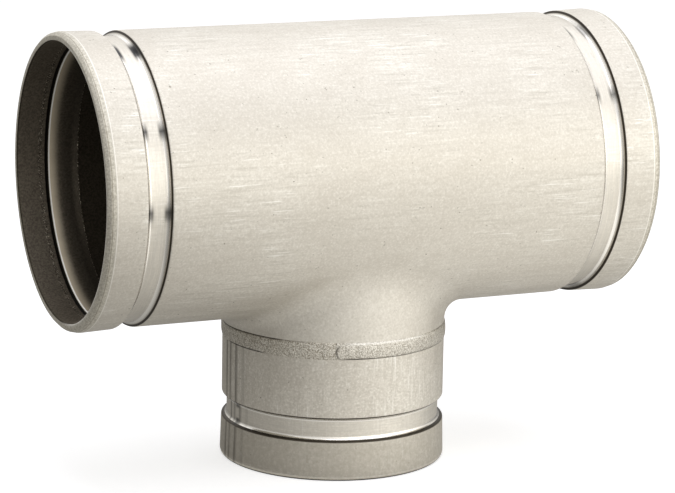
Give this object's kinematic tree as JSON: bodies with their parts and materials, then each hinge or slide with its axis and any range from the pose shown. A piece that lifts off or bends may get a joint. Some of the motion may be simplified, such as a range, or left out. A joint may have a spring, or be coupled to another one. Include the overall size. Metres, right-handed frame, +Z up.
{
  "type": "grooved reducing tee",
  "caption": "Stainless steel pipe tee with two rolled-groove run ends and a smaller grooved outlet welded to a drawn collar.",
  "frame": {"origin": "centre of the outlet nipple's end face, which the tee stands on", "axes": "+Z up the outlet's axis to the run pipe, +X along the run pipe"},
  "size_m": [0.23, 0.1142, 0.1742],
  "materials": {
    "pipe": "satin, pickled, with fine lines along the pipe and burnished grooves",
    "weld": "grainy as-welded bead, pickled"
  },
  "bodies": {
    "root": {"run_body": "pipe", "weld_bead": "weld", "outlet_nipple": "pipe"}
  },
  "joints": []
}
